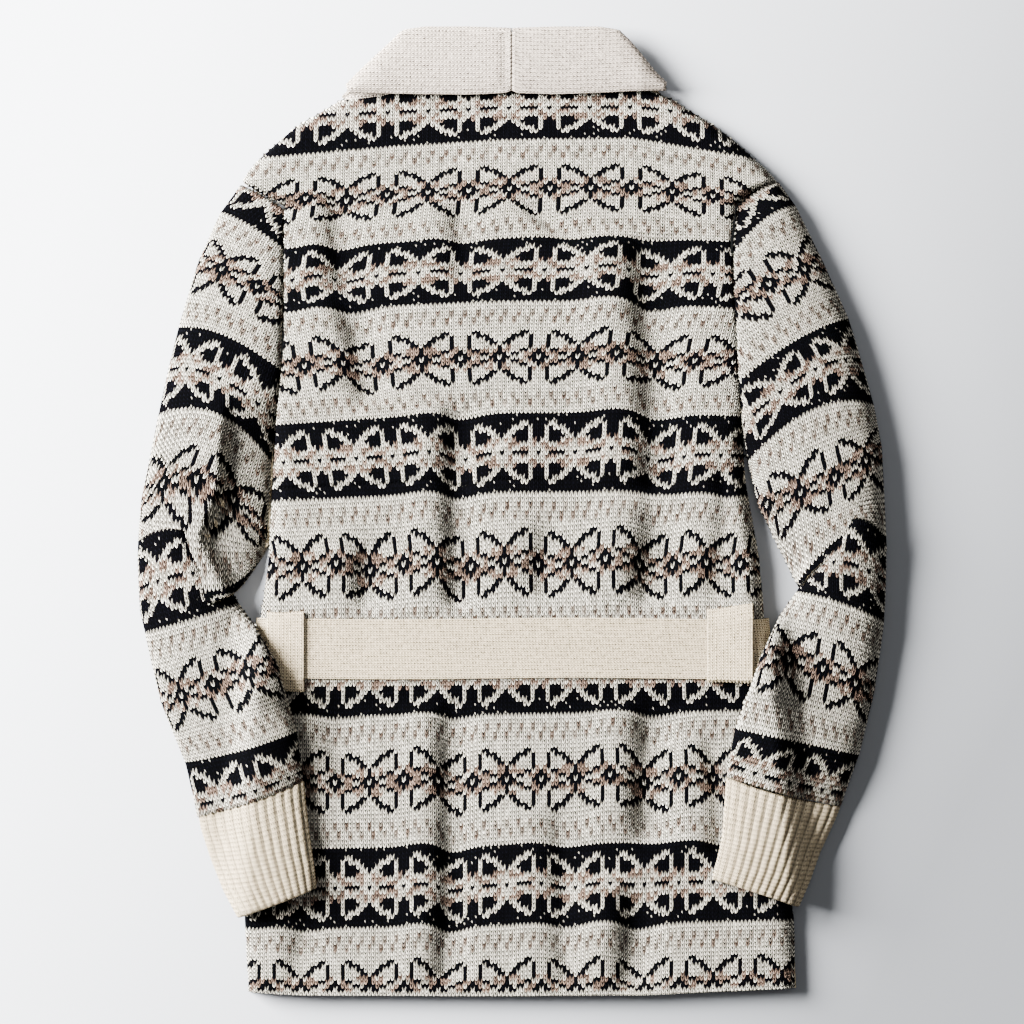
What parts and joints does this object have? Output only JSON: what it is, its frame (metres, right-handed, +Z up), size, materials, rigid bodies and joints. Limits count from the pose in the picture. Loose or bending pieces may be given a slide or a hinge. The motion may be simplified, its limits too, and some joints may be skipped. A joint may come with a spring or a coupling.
{
  "type": "shawl collar cardigan",
  "caption": "Women's knitted shawl collar cardigan laid flat, back up, with patterned body and sleeves, ribbed cuffs and a belt in two loops.",
  "frame": {"origin": "middle of the garment's outline, on the surface it lies on", "axes": "+X towards the picture's right, +Y from the hem towards the collar, +Z up from the surface"},
  "size_m": [0.687, 0.889, 0.0579],
  "materials": {
    "back": "matte",
    "front_left": "matte",
    "front_right": "matte",
    "band_left": "matte",
    "band_right": "matte",
    "collar_left": "matte",
    "collar_right": "matte",
    "sleeve_left": "matte",
    "sleeve_right": "matte",
    "cuff_left": "matte",
    "cuff_right": "matte",
    "belt": "matte",
    "belt_loop_left": "matte",
    "belt_loop_right": "matte"
  },
  "bodies": {
    "root": {"back": "back", "front_left": "front_left", "front_right": "front_right", "band_left": "band_left", "band_right": "band_right", "collar_left": "collar_left", "collar_right": "collar_right", "sleeve_left": "sleeve_left", "sleeve_right": "sleeve_right", "cuff_left": "cuff_left", "cuff_right": "cuff_right", "belt": "belt", "belt_loop_left": "belt_loop_left", "belt_loop_right": "belt_loop_right"}
  },
  "joints": []
}
